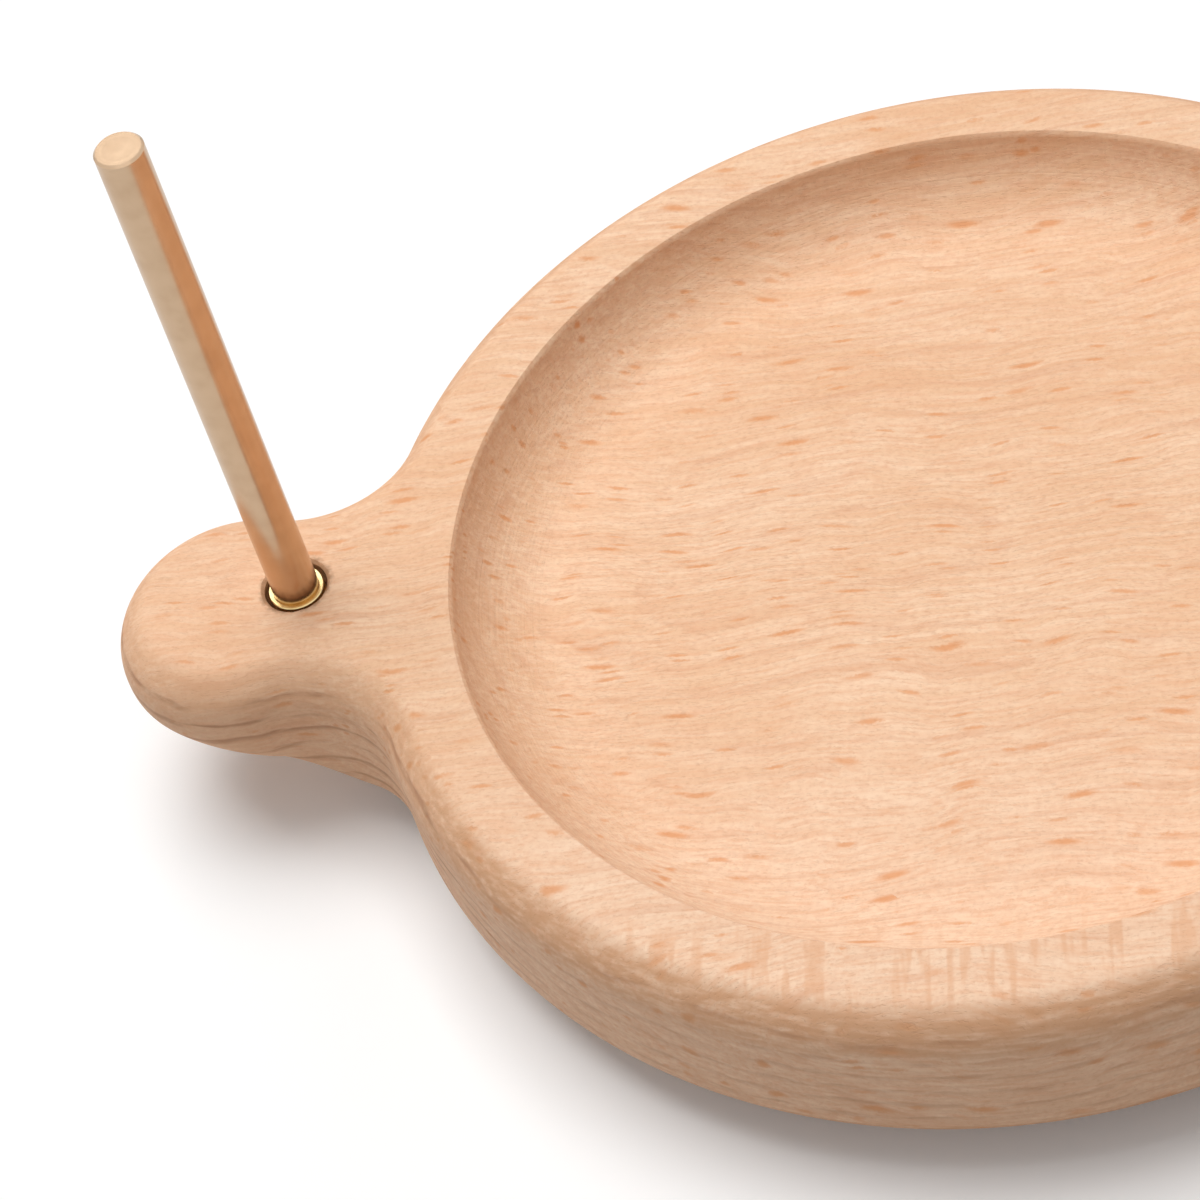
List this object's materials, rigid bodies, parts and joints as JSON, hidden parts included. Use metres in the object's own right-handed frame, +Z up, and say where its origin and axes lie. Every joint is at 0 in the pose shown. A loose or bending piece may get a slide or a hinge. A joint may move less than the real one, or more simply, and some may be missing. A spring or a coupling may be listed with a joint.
{
  "type": "yarn swift",
  "caption": "Dished round wooden plate that turns on a slim hidden ball ring, with a rounded thumb at one side carrying an upright screw-in brass rod that holds or guides yarn.",
  "frame": {"origin": "on the axis that the plate turns about, on the surface that the holder stands on, which is the underside of the anti-slip ring", "axes": "+Z up along the turning axis and the rod; -X from the turning axis towards the rod and its thumb, +X away from it along the wood's grain; +Y completes the right-handed frame"},
  "size_m": [0.1867, 0.154, 0.1055],
  "materials": {
    "beech": "sanded and oiled beech, satin",
    "insert_brass": "bright turned brass",
    "rod_brass": "drawn brass rod, satin",
    "ring_aluminium": "turned aluminium, satin",
    "ball_steel": "polished bearing steel",
    "screw_steel": "zinc plated steel",
    "cage_nylon": "natural nylon",
    "grip_rubber": "matt anti-slip rubber"
  },
  "bodies": {
    "foot": {"bearing_outer_ring": "ring_aluminium", "grip_ring": "grip_rubber", "filling_plug": "cage_nylon"},
    "plate": {"base_plate": "beech", "threaded_insert": "insert_brass", "bearing_inner_ring": "ring_aluminium", "ring_screws": "screw_steel"},
    "cage": {"ball_cage": "cage_nylon", "bearing_balls": "ball_steel"},
    "rod": {"yarn_rod": "rod_brass"}
  },
  "joints": [
    {"name": "plate_spin", "type": "hinge", "parent": "foot", "child": "plate", "pos_m": [0, 0, 0.00575], "axis": [0, 0, 1], "continuous": true},
    {"name": "cage_spin", "type": "hinge", "parent": "foot", "child": "cage", "pos_m": [0, 0, 0.00575], "axis": [0, 0, 1], "continuous": true},
    {"name": "rod_lift", "type": "slide", "parent": "plate", "child": "rod", "axis": [0, 0, 1], "range_m": [0, 0.02]}
  ],
  "couplings": [
    {"joint": "cage_spin", "follows": "plate_spin", "ratio": 0.4756}
  ]
}
